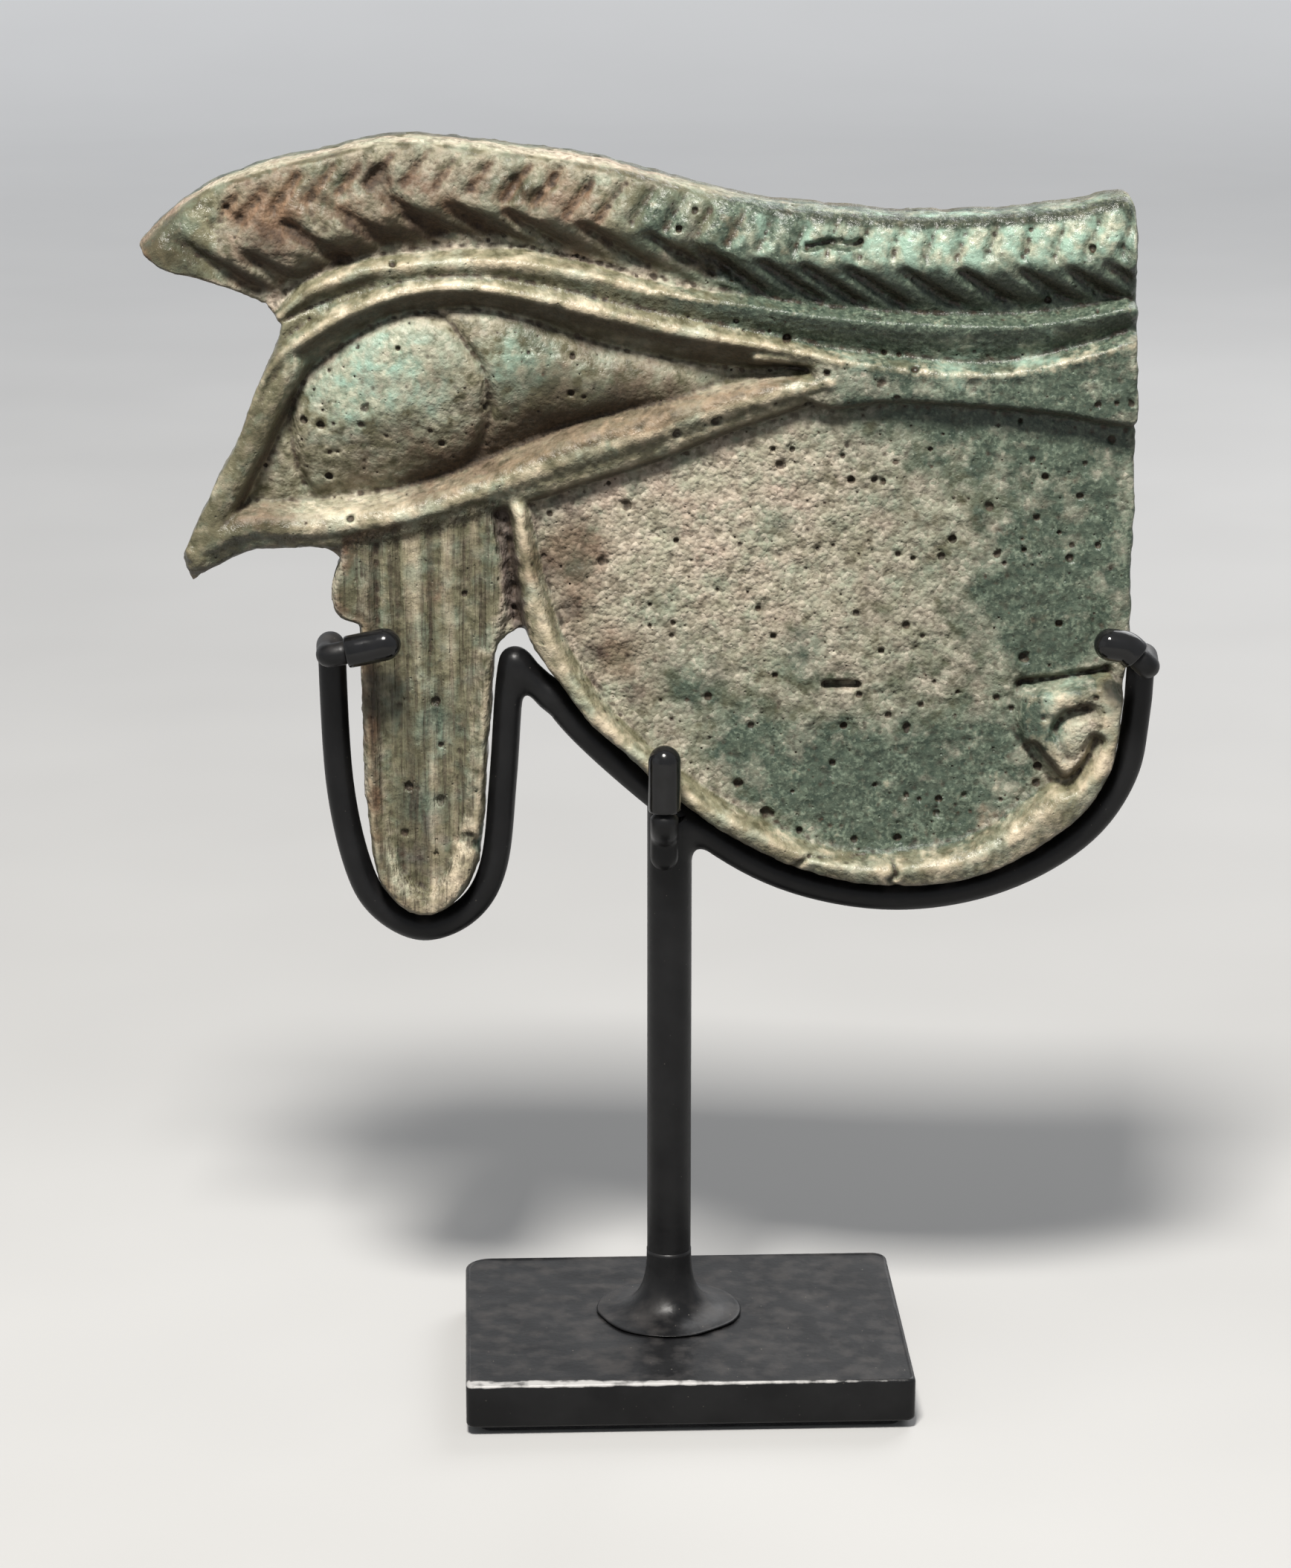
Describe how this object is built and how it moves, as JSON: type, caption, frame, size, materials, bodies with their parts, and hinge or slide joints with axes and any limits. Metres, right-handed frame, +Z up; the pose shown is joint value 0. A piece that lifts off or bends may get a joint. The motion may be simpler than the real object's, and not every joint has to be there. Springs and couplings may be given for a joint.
{
  "type": "wedjat eye amulet on a display mount",
  "caption": "Glazed faience eye amulet with brow, drop and curl, held by a blackened metal cradle with sleeved prongs on a stem and plate.",
  "frame": {"origin": "centre of the underside of the base", "axes": "+Z up along the stem, -Y the side that the amulet faces, +X to the viewer's right"},
  "size_m": [0.0931, 0.033, 0.1186],
  "materials": {
    "faience_glaze": "worn semi-gloss glaze",
    "black_paint": "satin black",
    "black_filler": "satin black",
    "black_sleeve": "gloss black",
    "black_felt": "matte"
  },
  "bodies": {
    "stand": {"base_plate": "black_paint", "base_felt": "black_felt", "stem": "black_paint", "stem_foot_fillet": "black_filler", "stem_head_braze": "black_filler", "notch_braze": "black_filler", "left_cradle_wire": "black_paint", "right_cradle_wire": "black_paint", "centre_prong": "black_paint", "left_prong_sleeve": "black_sleeve", "right_prong_sleeve": "black_sleeve", "centre_prong_sleeve": "black_sleeve"},
    "amulet": {"amulet_body": "faience_glaze"}
  },
  "joints": [
    {"name": "amulet_lift", "type": "slide", "parent": "stand", "child": "amulet", "axis": [0, 0, 1], "range_m": [0, 0.032]}
  ]
}
